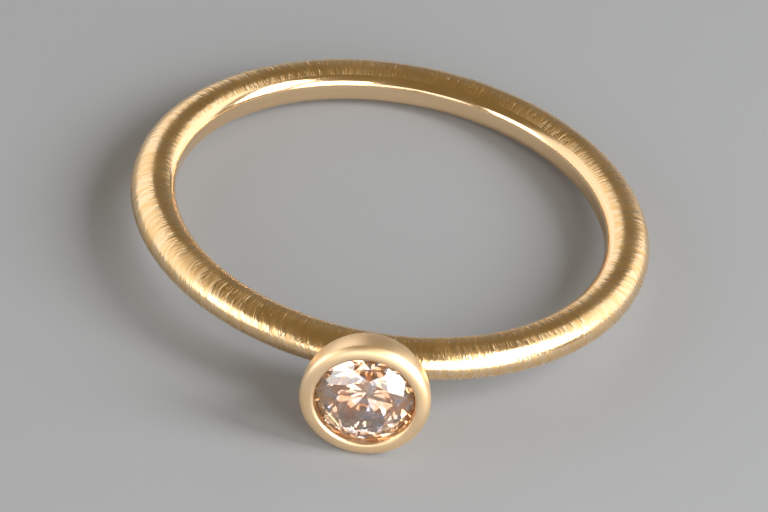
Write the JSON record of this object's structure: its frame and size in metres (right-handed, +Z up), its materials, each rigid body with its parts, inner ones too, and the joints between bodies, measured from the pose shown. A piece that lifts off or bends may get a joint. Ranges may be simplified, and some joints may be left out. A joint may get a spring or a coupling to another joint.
{
  "type": "stackable ring",
  "caption": "Slim brushed gold finger ring with a half-round bezel cup standing out from the band, holding a small round brilliant.",
  "frame": {"origin": "middle of the ring's footprint, on the surface it lies on", "axes": "+Z up, away from that surface; the bezel cup stands out towards -Y and is raised a little; the bore's axis is +Z tipped 4.6 degrees towards +Y; +X to the right, seen from the cup's side"},
  "size_m": [0.0205, 0.023, 0.005],
  "materials": {
    "gold": "18 ct yellow gold: outside brushed across the band, bezel satin, bore wall and stone lip polished",
    "diamond": "polished facets, near colourless"
  },
  "bodies": {
    "root": {"band_and_bezel": "gold", "diamond": "diamond"}
  },
  "joints": []
}
